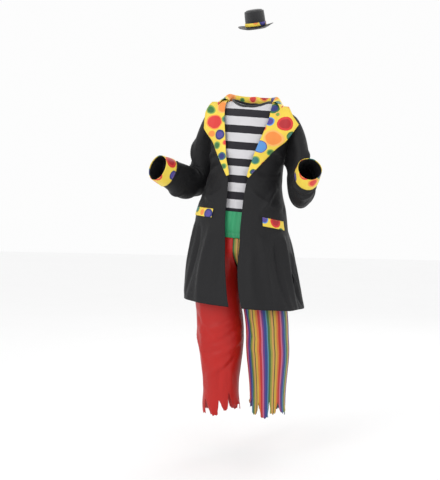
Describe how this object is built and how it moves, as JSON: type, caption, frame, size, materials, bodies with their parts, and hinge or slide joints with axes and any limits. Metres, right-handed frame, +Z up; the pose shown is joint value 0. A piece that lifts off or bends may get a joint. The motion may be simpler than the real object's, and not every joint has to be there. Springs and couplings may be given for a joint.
{
  "type": "clown costume",
  "caption": "Worn clown costume on nobody: long coat with dotted lapels, striped shirt, green waistband, two-colour tattered trousers and a mini hat.",
  "frame": {"origin": "middle of the neck base, where the wearer's shoulders carry the costume", "axes": "+Z up, -Y the wearer's front, +X the wearer's left"},
  "size_m": [0.7434, 0.4466, 1.7036],
  "materials": {
    "black_cloth": "plain black polyester with a faint sheen",
    "dotted_cloth": "yellow satin with dots of many colours",
    "striped_knit": "black and white striped jersey",
    "black_knit": "black jersey binding",
    "green_satin": "gathered green satin",
    "red_satin": "red satin",
    "rainbow_cloth": "upright stripes of many colours",
    "black_felt": "black felt"
  },
  "bodies": {
    "root": {"coat_back": "black_cloth", "coat_front_right": "black_cloth", "coat_front_left": "black_cloth", "sleeve_right": "black_cloth", "sleeve_left": "black_cloth", "collar": "dotted_cloth", "lapel_right": "dotted_cloth", "lapel_left": "dotted_cloth", "cuff_right": "dotted_cloth", "cuff_left": "dotted_cloth", "pocket_right": "dotted_cloth", "pocket_left": "dotted_cloth", "shirt_front": "striped_knit", "shirt_back": "striped_knit", "neck_binding": "black_knit", "waistband": "green_satin", "trouser_right_front": "red_satin", "trouser_right_back": "red_satin", "trouser_left_front": "rainbow_cloth", "trouser_left_back": "rainbow_cloth", "hat": "black_felt", "hat_band": "dotted_cloth"}
  },
  "joints": []
}
